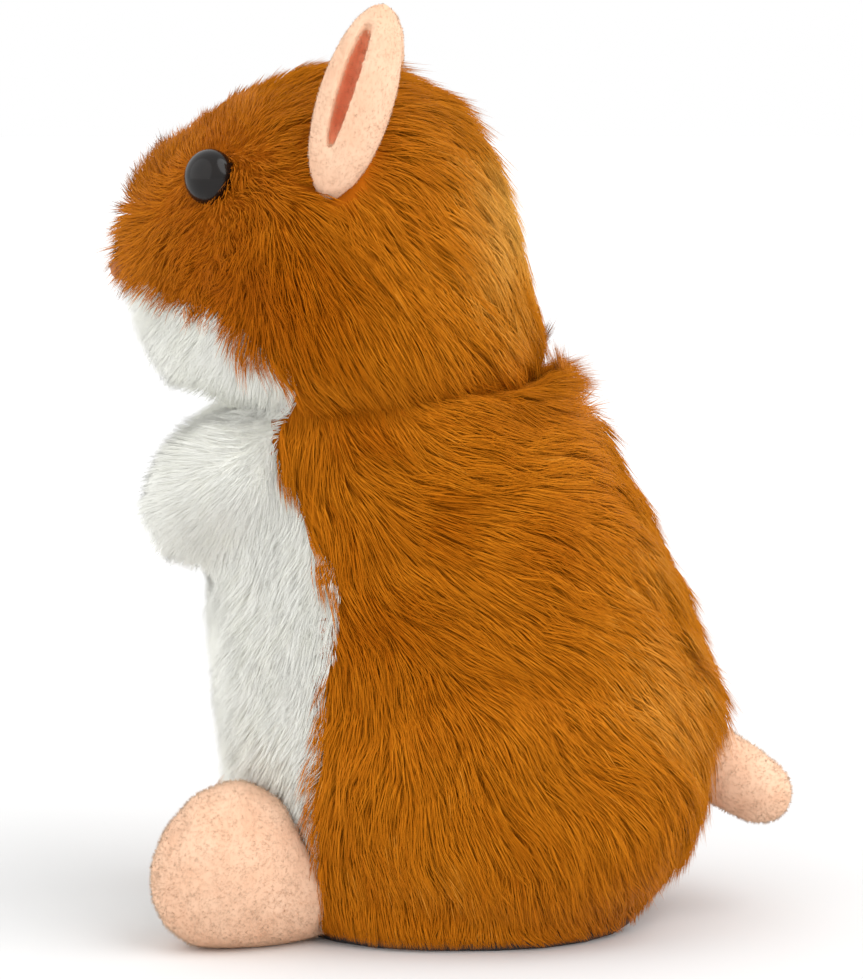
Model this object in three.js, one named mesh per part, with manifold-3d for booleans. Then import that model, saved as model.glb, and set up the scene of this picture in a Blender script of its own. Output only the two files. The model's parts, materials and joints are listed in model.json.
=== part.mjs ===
// A talking plush hamster that sits upright and nods its head while it speaks.
// A sewn fur skin with stuffed feet, paws, ears and tail is built round a plastic sound box.
// Millimetres, +Z up. The animal faces -Y, and its left side is +X.
import * as THREE from "three";
import { mergeVertices } from "three/addons/utils/BufferGeometryUtils.js";
import Module from "manifold-3d";

const wasm = await Module();
wasm.setup();

// ---------------------------------------------------------------- driving dimensions

const GAP = 0.35; // air left between pieces that touch
const EASE = 0.9; // air left where a soft piece lies over a curved one
const SKIN = 2.4; // thickness of the fur fabric's backing and felted pile
const SEAM = 0.25; // half the gap along a sewn seam between two panels
const SIDES = [["left", 1], ["right", -1]];

// The trunk, bottom to top: height, front, back, half width.
const TRUNK = [
  [3, -31, 33, 31],
  [12, -36.5, 38.5, 31.5],
  [24, -38.5, 42, 31],
  [36, -40, 44.5, 30.5],
  [48, -41, 40.5, 30],
  [60, -41.5, 36, 29.5],
  [72, -42, 30.5, 28],
  [82, -42, 24.5, 26.5],
  [91, -40, 19, 24.5],
  [98, -36, 13, 21],
];
// The skull under the fur, bottom to top, and how far its sides draw in towards the snout.
const SKULL = [
  [90, -43.5, 10, 22.5, 0.1],
  [96, -49, 11.5, 25.5, 0.2],
  [102, -52.8, 12.5, 28, 0.32],
  [109, -55, 11.5, 28.5, 0.45],
  [116, -56.5, 9.5, 28, 0.5],
  [124, -55, 7, 26.5, 0.46],
  [132, -51, 4, 23.5, 0.36],
  [139, -43, 0, 19, 0.2],
  [144, -35, -6, 13, 0.1],
  [147.3, -26, -14, 5.5, 0],
];
// Where the white bib meets the brown coat on either flank: height, then distance from front to back.
const BIB_EDGE = [[3, -24], [24, -24], [36, -22.5], [48, -18], [60, -15.5], [72, -20], [82, -25], [98, -26]];
// The straight seam on the head, from the tip of the snout down to the shoulder.
const CHIN_SEAM = { front: [-54, 111], back: [-28, 93.7] };

const NECK = { y: -12, z: 80 }; // the nod axis, across the animal
const PIN = { r: 1.5, half: 14.2, hole: 1.8 }; // the pin on that axis
const NECK_BALL = 26.5; // the stuffing under the head is a ball round that axis, so that it can nod
const BALL_ROOM = 1.2; // air between that ball and the hollow that it turns in
const COLLAR = { z: 91, slope: 0.1 }; // the coat's top edge over the nod axis, and its rise to the nape
const NOD_CLEAR = 6.5; // the open height between the coat's collar and the head

const EYE = { x: 17.2, y: -41.6, z: 130.8, turn: 0.86, lift: 0.12, r: 4.8, height: 3.8 };
const STEM = { r: 1.5, length: 9, washer: 4.6, washerAt: 7 };
const NOSE = { y: -58.1, z: 114.5, radii: [3.2, 2.1, 2.3] };
const EAR = { x: 24.4, y: -16.8, z: 143.6, half: 17.2, back: 0.3, inward: 0.1 };
const HAUNCH = { x: 22, y: 7, z: 26.5, radii: [14.5, 31.5, 23.2] };
const TAIL = { from: [36, 33], to: [55.3, 20.8], tip: 4.5 };

const CASE = { half: 21, front: -16, back: 20, bottom: 16.6, top: 70, wall: 1.8, corner: 6, split: 2 };
const ROOM = {
  half: CASE.half - CASE.wall,
  front: CASE.front + CASE.wall,
  back: CASE.back - CASE.wall,
  floor: CASE.bottom + CASE.wall,
  roof: CASE.top - CASE.wall,
};
const CASE_SCREW = { x: 14.6, z: 64.2, r: 1.2, head: 2.4 };
const SOLE_INSET = 1.4; // how far the sole's edge stands inside the skin
const TRAY = { half: 27, front: -17.4, back: 20.8, top: 16, flange: 2.6 };
const BAY = { half: 25.2, front: -15.6, back: 19, top: 14.4 };
const CELL = { r: 5.25, length: 44.5, nub: 1, nubR: 1.9, pitch: 11, y: 1.8, z: 8.3 };
const DOOR = { bottom: 0.5, top: 2.1, tab: 5, tabBack: 25.4, screwY: 22.4 };
const SWITCH = { x: -12.6, y: 24, half: 5, travel: 3 };

const MODULE = 0.6; // tooth module of the gear train
const PINION_TEETH = 8;
const WHEEL_TEETH = 24;
const CENTRES = (MODULE * (PINION_TEETH + WHEEL_TEETH)) / 2 + 0.1;
const MOTOR = { y: 8, z: 29, r: 8, from: -17.5, to: -0.9, flat: 6.2 };
const TRAIN_ANGLES = [110, 90, 75].map(THREE.MathUtils.degToRad); // from each axle to the next
const AXLES = [[MOTOR.y, MOTOR.z]];
for (const angle of TRAIN_ANGLES) {
  const [y, z] = AXLES[AXLES.length - 1];
  AXLES.push([y + CENTRES * Math.cos(angle), z + CENTRES * Math.sin(angle)]);
}
const CAM_AXLE = AXLES[3];
const LAYERS = [[1.3, 3.3], [4.1, 6], [6.8, 8.6]]; // where each wheel lies across the gearbox
const GEARBOX = { inner: -0.5, outer: 9.4, thick: 1.1, front: -4.5, back: 17.8, bottom: 21.3, top: 67.8 };
const CAM = { r: 5, throw: 2.5, from: -11.6, to: -6.4, shaft: 1.25 };
const SPEAKER = { z: 33, y: ROOM.front + 0.4, r: 13 };
const MICROPHONE_Z = 57;
const BOARD = { x: 13.4, thick: 1.2, front: -13, back: 17, bottom: 21.3, top: 60 };

// ---------------------------------------------------------------- solids

// A closed geometry as a solid that can be joined and cut.
function solid(geometry) {
  const bare = geometry.clone();
  bare.deleteAttribute("normal");
  bare.deleteAttribute("uv");
  const merged = mergeVertices(bare, 1e-4);
  const vertProperties = new Float32Array(merged.attributes.position.array);
  const triVerts = new Uint32Array(merged.index.array);
  return new wasm.Manifold(new wasm.Mesh({ numProp: 3, vertProperties, triVerts }));
}

function geometryOf(shape) {
  const { vertProperties, triVerts, numProp, numVert } = shape.getMesh();
  const points = new Float32Array(numVert * 3);
  for (let i = 0; i < numVert; i++) {
    points.set(vertProperties.subarray(i * numProp, i * numProp + 3), i * 3);
  }
  const geometry = new THREE.BufferGeometry();
  geometry.setAttribute("position", new THREE.BufferAttribute(points, 3));
  geometry.setIndex(new THREE.BufferAttribute(new Uint32Array(triVerts), 1));
  geometry.computeVertexNormals();
  return geometry;
}

const join = (...shapes) => shapes.reduce((a, b) => a.add(b));
const cut = (shape, ...tools) => tools.reduce((a, b) => a.subtract(b), shape);

// A box from its low corner to its high corner.
function block(low, high) {
  const size = high.map((v, i) => v - low[i]);
  const geometry = new THREE.BoxGeometry(...size);
  return solid(geometry.translate(...low.map((v, i) => v + size[i] / 2)));
}

// A round bar along X, Y or Z, given by its ends on that axis and its place on the other two.
function bar(axis, from, to, at, radius, sides = 14) {
  const geometry = new THREE.CylinderGeometry(radius, radius, to - from, sides);
  const middle = (from + to) / 2;
  if (axis === "x") geometry.rotateZ(-Math.PI / 2).translate(middle, at[0], at[1]);
  if (axis === "y") geometry.translate(at[0], middle, at[1]);
  if (axis === "z") geometry.rotateX(Math.PI / 2).translate(at[0], at[1], middle);
  return solid(geometry);
}

function ball(centre, radii, across = 20, down = 12) {
  return solid(new THREE.SphereGeometry(1, across, down).scale(...radii).translate(...centre));
}

// A plate with round corners, seen from above, between two heights.
function roundedPlate(low, high, corner, bottom, top) {
  const [x0, y0, x1, y1] = [...low, ...high];
  const shape = new THREE.Shape();
  shape.moveTo(x0 + corner, y0);
  shape.lineTo(x1 - corner, y0);
  shape.absarc(x1 - corner, y0 + corner, corner, -Math.PI / 2, 0);
  shape.absarc(x1 - corner, y1 - corner, corner, 0, Math.PI / 2);
  shape.absarc(x0 + corner, y1 - corner, corner, Math.PI / 2, Math.PI);
  shape.absarc(x0 + corner, y0 + corner, corner, Math.PI, Math.PI * 1.5);
  const settings = { depth: top - bottom, bevelEnabled: false, curveSegments: 4 };
  return solid(new THREE.ExtrudeGeometry(shape, settings).translate(0, 0, bottom));
}

// A flat outline in the Y-Z plane, extruded across the animal between two values of X.
function sidePlate(outline, from, to) {
  const shape = new THREE.Shape(outline.map(([y, z]) => new THREE.Vector2(y, z)));
  const geometry = new THREE.ExtrudeGeometry(shape, { depth: to - from, bevelEnabled: false });
  const toSide = new THREE.Matrix4().makeBasis(
    new THREE.Vector3(0, 1, 0),
    new THREE.Vector3(0, 0, 1),
    new THREE.Vector3(1, 0, 0),
  );
  return solid(geometry.applyMatrix4(toSide).translate(from, 0, 0));
}

// A turned piece on the Z axis, from (radius, height) points that start and end on the axis.
const turned = (profile, sides = 14) =>
  new THREE.LatheGeometry(profile.map(([r, z]) => new THREE.Vector2(r, z)), sides).rotateX(Math.PI / 2);

// A thick sheet between an outer and an inner grid of points. Its rows run up and its columns run round.
function sheet(outer, inner) {
  const rows = outer.length;
  const columns = outer[0].length;
  const points = [...outer.flat(), ...inner.flat()];
  const faces = [];
  const at = (layer, row, column) => (layer * rows + row) * columns + column;
  const quad = (a, b, c, d) => faces.push(a, b, c, a, c, d);
  for (let r = 0; r < rows - 1; r++) {
    for (let c = 0; c < columns - 1; c++) {
      quad(at(0, r, c), at(0, r, c + 1), at(0, r + 1, c + 1), at(0, r + 1, c));
      quad(at(1, r, c + 1), at(1, r, c), at(1, r + 1, c), at(1, r + 1, c + 1));
    }
    quad(at(1, r, 0), at(0, r, 0), at(0, r + 1, 0), at(1, r + 1, 0));
    quad(at(0, r, columns - 1), at(1, r, columns - 1), at(1, r + 1, columns - 1), at(0, r + 1, columns - 1));
  }
  for (let c = 0; c < columns - 1; c++) {
    quad(at(1, 0, c), at(1, 0, c + 1), at(0, 0, c + 1), at(0, 0, c));
    quad(at(0, rows - 1, c), at(0, rows - 1, c + 1), at(1, rows - 1, c + 1), at(1, rows - 1, c));
  }
  return solid(indexed(points, faces));
}

// A lump through closed rings of points, closed at both ends by a fan to the ring's middle.
function lump(rings) {
  const columns = rings[0].length;
  const points = rings.flat();
  const faces = [];
  for (let r = 0; r < rings.length - 1; r++) {
    for (let c = 0; c < columns; c++) {
      const [a, b] = [r * columns + c, r * columns + ((c + 1) % columns)];
      faces.push(a, b, b + columns, a, b + columns, a + columns);
    }
  }
  const middleOf = (ring) => ring.reduce((sum, p) => sum.add(p), new THREE.Vector3()).divideScalar(columns);
  const lastRing = points.length - columns;
  const first = points.push(middleOf(rings[0])) - 1;
  const last = points.push(middleOf(rings[rings.length - 1])) - 1;
  for (let c = 0; c < columns; c++) {
    const next = (c + 1) % columns;
    faces.push(next, c, first, lastRing + c, lastRing + next, last);
  }
  return solid(indexed(points, faces));
}

function indexed(points, faces) {
  const geometry = new THREE.BufferGeometry().setFromPoints(points);
  return geometry.setIndex(faces);
}

// A tube with a small section along a smooth path through points.
function tube(points, radius, steps, sides = 6) {
  const section = new THREE.Shape(
    Array.from({ length: sides }, (_, i) => {
      const angle = (i / sides) * Math.PI * 2;
      return new THREE.Vector2(Math.cos(angle), Math.sin(angle)).multiplyScalar(radius);
    }),
  );
  const extrudePath = new THREE.CatmullRomCurve3(points.map((p) => new THREE.Vector3(...p)));
  return solid(new THREE.ExtrudeGeometry(section, { steps, extrudePath, bevelEnabled: false }));
}

// ---------------------------------------------------------------- the soft outline

// Reads a table of stations at any height, by a cubic through its rows.
function stations(table) {
  const width = table[0].length - 1;
  const cubic = new THREE.CubicInterpolant(
    Float32Array.from(table, (row) => row[0]),
    Float32Array.from(table.flatMap((row) => row.slice(1))),
    width,
    new Float32Array(width),
  );
  return (height) => Array.from(cubic.evaluate(height));
}

const trunkAt = stations(TRUNK);
const skullAt = stations(SKULL);
const bibAt = stations(BIB_EDGE);
const heights = (from, to, count) =>
  Array.from({ length: count }, (_, i) => from + ((to - from) * i) / (count - 1));
const fullTurn = (count) => Array.from({ length: count }, (_, i) => (i / count) * Math.PI * 2);

// A point on a rounded section, at an angle from the front round the animal's left side.
function around(height, angle, [front, back, half, taper = 0], inset, squareness) {
  const power = 2 / squareness;
  const [s, c] = [Math.sin(angle), Math.cos(angle)];
  const depth = (back - front) / 2 - inset;
  const forward = Math.sign(c) * Math.abs(c) ** power;
  const narrow = 1 - taper * Math.max(0, forward) ** 1.5;
  return new THREE.Vector3(
    (half - inset) * Math.sign(s) * Math.abs(s) ** power * narrow,
    (front + back) / 2 - depth * forward,
    height,
  );
}

const RIBS = 22; // points round one section of the trunk or the head
const TRUNK_SQUARE = 2.35;
const trunkPoint = (z, angle, inset) => around(z, angle, trunkAt(z), inset, TRUNK_SQUARE);
const skullPoint = (z, angle, inset) => around(z, angle, skullAt(z), inset, 2.1);

const trunkLump = (inset, from, to, rows = 9) =>
  lump(heights(from, to, rows).map((z) => fullTurn(RIBS).map((a) => trunkPoint(z, a, inset))));
const skullLump = (inset, from, to, rows = 10) =>
  lump(heights(from, to, rows).map((z) => fullTurn(RIBS).map((a) => skullPoint(z, a, inset))));

// The angle at which the bib's edge lies at a height.
function bibAngle(z) {
  const [front, back] = trunkAt(z);
  const [edge] = bibAt(z);
  const forward = ((front + back) / 2 - edge) / ((back - front) / 2);
  return Math.acos(forward ** (TRUNK_SQUARE / 2));
}

// A large block whose lower face is the collar's sloping plane, raised by a height.
function aboveCollar(lift) {
  const size = 300;
  const tilt = Math.atan(COLLAR.slope);
  const big = new THREE.BoxGeometry(size, size, size).translate(0, 0, size / 2).rotateX(tilt);
  return solid(big.translate(0, NECK.y, COLLAR.z + lift));
}

// One fur panel of the trunk, between two angles that depend on the height.
function trunkPanel(startAt, endAt, columns) {
  const [bottom, top] = [TRUNK[0][0], TRUNK[TRUNK.length - 1][0]];
  const grid = (inset) =>
    heights(bottom, top, 9).map((z) =>
      heights(startAt(z), endAt(z), columns).map((angle) => trunkPoint(z, angle, inset)),
    );
  return cut(sheet(grid(0), grid(SKIN)), aboveCollar(0));
}

const neckBall = (radius) => ball([0, NECK.y, NECK.z], [radius, radius, radius], 20, 12);
const trunkOutside = trunkLump(-EASE, 2, 96);
const seamAngle = SEAM / TRUNK[0][3];
const coat = trunkPanel((z) => bibAngle(z) + seamAngle, (z) => Math.PI * 2 - bibAngle(z) - seamAngle, 19);
const bib = trunkPanel((z) => -bibAngle(z) + seamAngle, (z) => bibAngle(z) - seamAngle, 11);

// A flat plate with the outline of the trunk's lower edge.
const sole = (inset, bottom, top) => {
  const edgeAt = (height) => fullTurn(RIBS).map((a) => trunkPoint(TRUNK[0][0], a, inset).setZ(height));
  return lump([edgeAt(bottom), edgeAt(top)]);
};

// ---------------------------------------------------------------- stuffed pieces

// The thigh bulges out of each flank and is stuffed on its own.
function haunchBall(side, grow) {
  const radii = HAUNCH.radii.map((r) => r + grow);
  return ball([side * HAUNCH.x, HAUNCH.y, HAUNCH.z], radii, 22, 12);
}

const haunch = (side) => cut(haunchBall(side, 0), trunkOutside);

// A foot is a fat stuffed drop, broad at the toes and thin at the heel, flat where it stands.
// Each row is the middle of a section, then its half width and half height.
const FOOT = [
  [13, -8, 7, 2.5, 2.5],
  [15.5, -14, 7.5, 6, 6],
  [19, -22, 9.5, 8.5, 9.5],
  [22.5, -30, 12.4, 10.6, 13.3],
  [24.6, -37.5, 14, 11.4, 15.1],
  [26.2, -44.5, 13.2, 10.2, 13.4],
  [27.2, -49.5, 12.2, 6.6, 8.6],
  [27.5, -51.9, 11.8, 2.2, 3],
];

// The right foot is drawn in further than the left one, and is stuffed less full.
const DRAWN_IN = { left: [0, 1], right: [6, 0.86] };

function foot(name, side) {
  const [back, full] = DRAWN_IN[name];
  const rings = FOOT.map(([x, y, z, rx, rz]) =>
    fullTurn(16).map(
      (a) => new THREE.Vector3(side * x - rx * Math.sin(a), y + back, (z + rz * Math.cos(a)) * full),
    ),
  );
  const soleRoom = sole(SOLE_INSET - GAP, -1, TRAY.flange + GAP);
  const underground = block([-60, -80, -60], [60, 60, 0]);
  return cut(lump(rings), trunkOutside, haunchBall(side, EASE), soleRoom, underground);
}

// A short arm, drawn up to the chest.
function paw(side) {
  const arm = join(
    ball([side * 17, -36, 81], [9, 10, 9.5], 13, 8),
    ball([side * 12.5, -41.5, 77.5], [9, 9.5, 10], 13, 8),
    ball([side * 9.2, -43.8, 74], [8.7, 8.4, 8.9], 13, 8),
  );
  return cut(arm, trunkOutside);
}

// An ear is one piece of plush folded into a narrow cup that opens outwards.
function ear(side) {
  const leaf = new THREE.SphereGeometry(1, 16, 10).scale(5.4, 6.4, EAR.half);
  const slit = new THREE.SphereGeometry(1, 10, 8).scale(5, 1.5, 12.5).translate(side * 4.4, -0.9, 2.5);
  const lean = new THREE.Euler(-EAR.back, side * -EAR.inward, side * -0.25);
  const place = new THREE.Matrix4()
    .makeTranslation(side * EAR.x, EAR.y, EAR.z)
    .multiply(new THREE.Matrix4().makeRotationFromEuler(lean));
  const shape = cut(solid(leaf.applyMatrix4(place)), solid(slit.applyMatrix4(place)));
  return cut(shape, skullLump(-EASE, 93, 147.6));
}

// The tail is a stub of the same plush as the feet.
function tail() {
  const from = new THREE.Vector3(0, ...TAIL.from);
  const along = new THREE.Vector3(0, ...TAIL.to).sub(from);
  const reach = along.length();
  along.normalize();
  const across = new THREE.Vector3(1, 0, 0);
  const up = along.clone().cross(across);
  const end = [[reach, 5.9], [reach + 3.4, 3.9], [reach + TAIL.tip, 1.3]];
  const profile = [[0, 5], [8, 6.6], [reach - 6, 6.5], ...end];
  const rings = profile.map(([distance, r]) =>
    fullTurn(14).map((a) =>
      from
        .clone()
        .addScaledVector(along, distance)
        .addScaledVector(across, r * Math.cos(a))
        .addScaledVector(up, r * Math.sin(a)),
    ),
  );
  return cut(lump(rings), trunkOutside);
}

// ---------------------------------------------------------------- the head

// Places a piece turned about Z so that it points out of an eye socket.
function inSocket(side, profile) {
  const out = new THREE.Vector3(
    side * Math.sin(EYE.turn) * Math.cos(EYE.lift),
    -Math.cos(EYE.turn) * Math.cos(EYE.lift),
    Math.sin(EYE.lift),
  );
  const turn = new THREE.Quaternion().setFromUnitVectors(new THREE.Vector3(0, 0, 1), out);
  const at = new THREE.Vector3(side * EYE.x, EYE.y, EYE.z);
  return solid(turned(profile).applyQuaternion(turn).translate(at.x, at.y, at.z));
}

// A safety eye is a glossy dome with a stem through the skin, held by a washer pushed onto the stem.
function eye(side) {
  const dome = heights(0, Math.PI / 2, 6).map((a) => [EYE.r * Math.cos(a), EYE.height * Math.sin(a)]);
  dome[dome.length - 1][0] = 0;
  const stem = [[0, -STEM.length], [STEM.r, -STEM.length], [STEM.r, -0.6]];
  return inSocket(side, [...stem, [EYE.r - 0.5, -0.6], ...dome]);
}

function eyeWasher(side) {
  const [inside, back, front] = [STEM.r + 0.3, -STEM.washerAt - 1, -STEM.washerAt];
  const ring = [[inside, back], [STEM.washer, back], [STEM.washer, front], [inside, front], [inside, back]];
  return inSocket(side, ring);
}

// The room that an eye, its stem and its washer take out of the skin and the stuffing.
function eyeRoom(side) {
  const [washer, back, front] = [STEM.washer + GAP, -STEM.washerAt - 1 - GAP, -STEM.washerAt + GAP];
  const stem = STEM.r + GAP;
  const dome = EYE.r + GAP;
  return inSocket(side, [
    [0, -STEM.length - GAP],
    [stem, -STEM.length - GAP],
    [stem, back],
    [washer, back],
    [washer, front],
    [stem, front],
    [stem, -0.6 - GAP],
    [dome, -0.6 - GAP],
    [dome, 6],
    [0, 6],
  ]);
}

const noseBall = (grow) => ball([0, NOSE.y, NOSE.z], NOSE.radii.map((r) => r + grow), 10, 6);

// The head's skin is a hollow cover, open at the neck. A sloping seam parts the white chin from the crown.
function headPanels() {
  const cover = cut(skullLump(0, 90, 147.3), skullLump(SKIN, 89.9, 144.6), neckBall(NECK_BALL + BALL_ROOM));
  const trimmed = cut(cover.intersect(aboveCollar(NOD_CLEAR)), eyeRoom(1), eyeRoom(-1), noseBall(GAP));
  const [[frontY, frontZ], [backY, backZ]] = [CHIN_SEAM.front, CHIN_SEAM.back];
  const tilt = Math.atan2(backZ - frontZ, backY - frontY);
  const below = (drop) => {
    const size = 300;
    const big = new THREE.BoxGeometry(size, size, size).translate(0, 0, -size / 2).rotateX(tilt);
    return solid(big.translate(0, frontY, frontZ - drop));
  };
  return [cut(trimmed, below(-SEAM)), trimmed.intersect(below(SEAM))];
}

// ---------------------------------------------------------------- the nodding arm

const ARM = {
  hub: 4.2,
  half: 9.8,
  post: [6.5, 2.4],
  plateZ: 113,
  plateHalf: 13,
  plateFront: -33,
  plateBack: -3,
  plateThick: 2.4,
};
// The arm's tail goes back from the hub, down through the case's roof and under the cam.
const shelf = CAM_AXLE[1] - CAM.r - CAM.throw * 2 - 0.9;
const ARM_TAIL = [
  [-14, 76.6],
  [-9, 76.2],
  [-7.4, 72],
  [-7.9, shelf - 2.8],
  [13.4, shelf - 2.8],
  [13.4, shelf],
  [-4.6, shelf],
  [-4.2, 72],
  [-3.6, 78],
  [-6.5, 83],
  [-13, 83.8],
];

function nodArm() {
  const [x, y] = ARM.post;
  const hub = bar("x", -ARM.half, ARM.half, [NECK.y, NECK.z], ARM.hub, 16);
  const post = block([-x, NECK.y - y, NECK.z + 2], [x, NECK.y + y, ARM.plateZ + 1]);
  const [low, high] = [[-ARM.plateHalf, ARM.plateFront], [ARM.plateHalf, ARM.plateBack]];
  const plate = roundedPlate(low, high, 8, ARM.plateZ, ARM.plateZ + ARM.plateThick);
  const follower = sidePlate(ARM_TAIL, CAM.from + 0.4, CAM.to - 0.4);
  return cut(join(hub, post, plate, follower), bar("x", -14, 14, [NECK.y, NECK.z], PIN.hole, 16));
}

// Two ears on the roof of the case hold the pin that the head nods on.
function neckBracket() {
  const base = block([-14.4, -17.5, CASE.top + GAP], [14.4, -9.2, CASE.top + 2.5]);
  const ears = [-14.4, 12].map((x) => block([x, -16, CASE.top + 1], [x + 2.4, -9.2, NECK.z + 4]));
  return cut(join(base, ...ears), bar("x", -20, 20, [NECK.y, NECK.z], PIN.hole, 16));
}

function headStuffing() {
  const inside = skullLump(SKIN + EASE, 91, 144);
  const [half, low] = [ARM.plateHalf + GAP, [-ARM.plateHalf - GAP, ARM.plateFront - GAP, 60]];
  const plateRoom = block(low, [half, ARM.plateBack + GAP, ARM.plateZ + ARM.plateThick + GAP]);
  const room = join(neckBall(NECK_BALL + BALL_ROOM), plateRoom, noseBall(GAP));
  return cut(inside.intersect(aboveCollar(NOD_CLEAR)), room, eyeRoom(1), eyeRoom(-1));
}

// The body's filling stands round the sound box and ends in a ball that the head turns over.
function bodyStuffing() {
  const inside = trunkLump(SKIN + EASE, TRAY.top + 0.4, 97);
  const cap = neckBall(NECK_BALL).intersect(join(aboveCollar(GAP), inside));
  const filling = join(cut(inside, aboveCollar(0)), cap);
  const low = [-CASE.half - GAP, CASE.front - GAP];
  const high = [CASE.half + GAP, CASE.back + GAP];
  const caseRoom = roundedPlate(low, high, CASE.corner, 10, CASE.top + GAP);
  const neckRoom = block([-15.2, -22, CASE.top], [15.2, 3, 92]);
  const postRoom = block([-8, -19.4, 90], [8, -4.6, 110]);
  const leadRoom = block([-26, -11, 10], [26, 15, 26]);
  return cut(filling, caseRoom, neckRoom, postRoom, leadRoom);
}

// ---------------------------------------------------------------- the sound box

// A round hole or bar along Y.
const across = (x, z, from, to, radius, sides = 12) => bar("y", from, to, [x, z], radius, sides);

function caseShell() {
  const { half, front, back, bottom, top, corner, wall } = CASE;
  const outside = roundedPlate([-half, front], [half, back], corner, bottom, top);
  const [low, high] = [[-ROOM.half, ROOM.front], [ROOM.half, ROOM.back]];
  const inside = roundedPlate(low, high, corner - wall, ROOM.floor, ROOM.roof);
  const tailSlot = block([CAM.from - 1, -11.5, ROOM.roof - 1], [CAM.to + 1, 0, top + 1]);
  const grille = [0, 1, 2, 3, 4, 5].map((i) => {
    const angle = (i / 6) * Math.PI * 2;
    return across(7 * Math.cos(angle), SPEAKER.z + 7 * Math.sin(angle), front - 1, ROOM.front + 1, 2, 8);
  });
  const soundHole = across(0, SPEAKER.z, front - 1, ROOM.front + 1, 2, 8);
  const microphoneHole = across(0, MICROPHONE_Z, front - 1, ROOM.front + 1, 1, 8);
  const leadHoles = [bar("x", 18, 22, [-9, 24], 1.2, 8), bar("x", -22, -18, [12.8, 20.4], 1.2, 8)];
  return cut(outside, inside, tailSlot, ...grille, soundHole, microphoneHole, ...leadHoles);
}

// The front half carries the screw bosses, and the rear half their sleeves.
function caseHalves() {
  const shell = caseShell();
  const ahead = block([-50, -50, 0], [50, CASE.split - 0.15, 100]);
  const behind = block([-50, CASE.split + 0.15, 0], [50, 50, 100]);
  const places = [CASE_SCREW.x, -CASE_SCREW.x];
  const bosses = places.map((x) => across(x, CASE_SCREW.z, ROOM.front - 0.5, CASE.split - 0.15, 2.9));
  const sleeves = places.map((x) => across(x, CASE_SCREW.z, CASE.split + 0.15, ROOM.back + 0.5, 2.9));
  const pilots = places.map((x) => across(x, CASE_SCREW.z, -9, 30, CASE_SCREW.r + GAP));
  const sinks = places.map((x) => across(x, CASE_SCREW.z, CASE.back - 2, 30, CASE_SCREW.head + GAP));
  return [
    cut(join(shell.intersect(ahead), ...bosses), ...pilots),
    cut(join(shell.intersect(behind), ...sleeves), ...pilots, ...sinks),
  ];
}

// A pan-head screw along Y, with its head to the back.
function caseScrew(x) {
  const seat = CASE.back - 2 + GAP;
  const shank = across(x, CASE_SCREW.z, -8.5, seat + 0.2, CASE_SCREW.r);
  const head = across(x, CASE_SCREW.z, seat, seat + 1.5, CASE_SCREW.head);
  const slot = block([x - 1.6, seat + 0.8, CASE_SCREW.z - 0.4], [x + 1.6, seat + 3, CASE_SCREW.z + 0.4]);
  return cut(join(shank, head), slot);
}

// ---------------------------------------------------------------- speaker, microphone and board

// Turns a piece made on Z so that its top faces the animal's front.
function facingFront(profile, sides, x, y, z) {
  return solid(turned(profile, sides).rotateX(Math.PI / 2).translate(x, y, z));
}

const rim = SPEAKER.r;
const speakerFrame = [
  [0, -5.2],
  [rim - 5.8, -5.2],
  [rim - 1.6, -1.4],
  [rim, -1.2],
  [rim, 0],
  [rim - 2.1, 0],
  [rim - 2.5, -1.2],
  [rim - 6.5, -4.2],
  [0, -4.2],
];
const speakerCone = [
  [0, -3.9],
  [3.2, -3.9],
  [rim - 2.9, -0.9],
  [rim - 2.6, -0.1],
  [3.2, -3],
  [1.8, -2.4],
  [0, -2.2],
];
const speakerMagnet = [[0, -9.2], [6.8, -9.2], [6.8, -5.5], [0, -5.5]];
const microphoneCan = [[0, -2.8], [3, -2.8], [3, 0], [0, 0]];

function circuitBoard() {
  const { x, thick, front, back, bottom, top } = BOARD;
  const board = block([x, front, bottom], [x + thick, back, top]);
  const holes = [[-10.5, 24], [14.5, 24], [-10.5, 57], [14.5, 57]].map((at) => bar("x", 10, 20, at, 1.1, 8));
  return cut(board, ...holes);
}

// The sound chip sits under a round drop of black resin.
function soundChip() {
  const x = BOARD.x + BOARD.thick + GAP;
  const profile = [[0, 0], [5.2, 0], [4.8, 0.8], [3.2, 1.5], [0, 1.8]];
  return solid(turned(profile, 16).rotateY(Math.PI / 2).translate(x, 0, 43));
}

// ---------------------------------------------------------------- motor and gears

function motor() {
  const can = bar("x", MOTOR.from, MOTOR.to, [MOTOR.y, MOTOR.z], MOTOR.r, 20);
  const flats = [-1, 1].map((side) => {
    const edge = MOTOR.y + side * MOTOR.flat;
    return block([-30, Math.min(edge, edge + side * 9), 10], [10, Math.max(edge, edge + side * 9), 50]);
  });
  return cut(can, ...flats, bar("x", MOTOR.to - 3, 5, [MOTOR.y, MOTOR.z], 1.1, 10));
}

// The outline of a spur gear in the Y-Z plane. One tooth points along the given angle.
function gearOutline(teeth, [y, z], phase) {
  const pitch = (MODULE * teeth) / 2;
  const [root, tip] = [pitch - MODULE * 1.15, pitch + MODULE * 0.9];
  const half = (Math.PI / (2 * teeth)) * 0.85;
  const corners = [[root, -half * 1.35], [tip, -half / 2], [tip, half / 2], [root, half * 1.35]];
  return fullTurn(teeth).flatMap((turn) =>
    corners.map(([r, a]) => [y + r * Math.cos(phase + turn + a), z + r * Math.sin(phase + turn + a)]),
  );
}

// Each wheel has a gap towards the pinion that drives it, and each pinion a tooth towards the next wheel.
function wheel(index) {
  const gapTowards = TRAIN_ANGLES[index] + Math.PI + Math.PI / WHEEL_TEETH;
  return sidePlate(gearOutline(WHEEL_TEETH, AXLES[index + 1], gapTowards), ...LAYERS[index]);
}

function pinion(index, from, to) {
  return sidePlate(gearOutline(PINION_TEETH, AXLES[index], TRAIN_ANGLES[index]), from, to);
}

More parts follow.
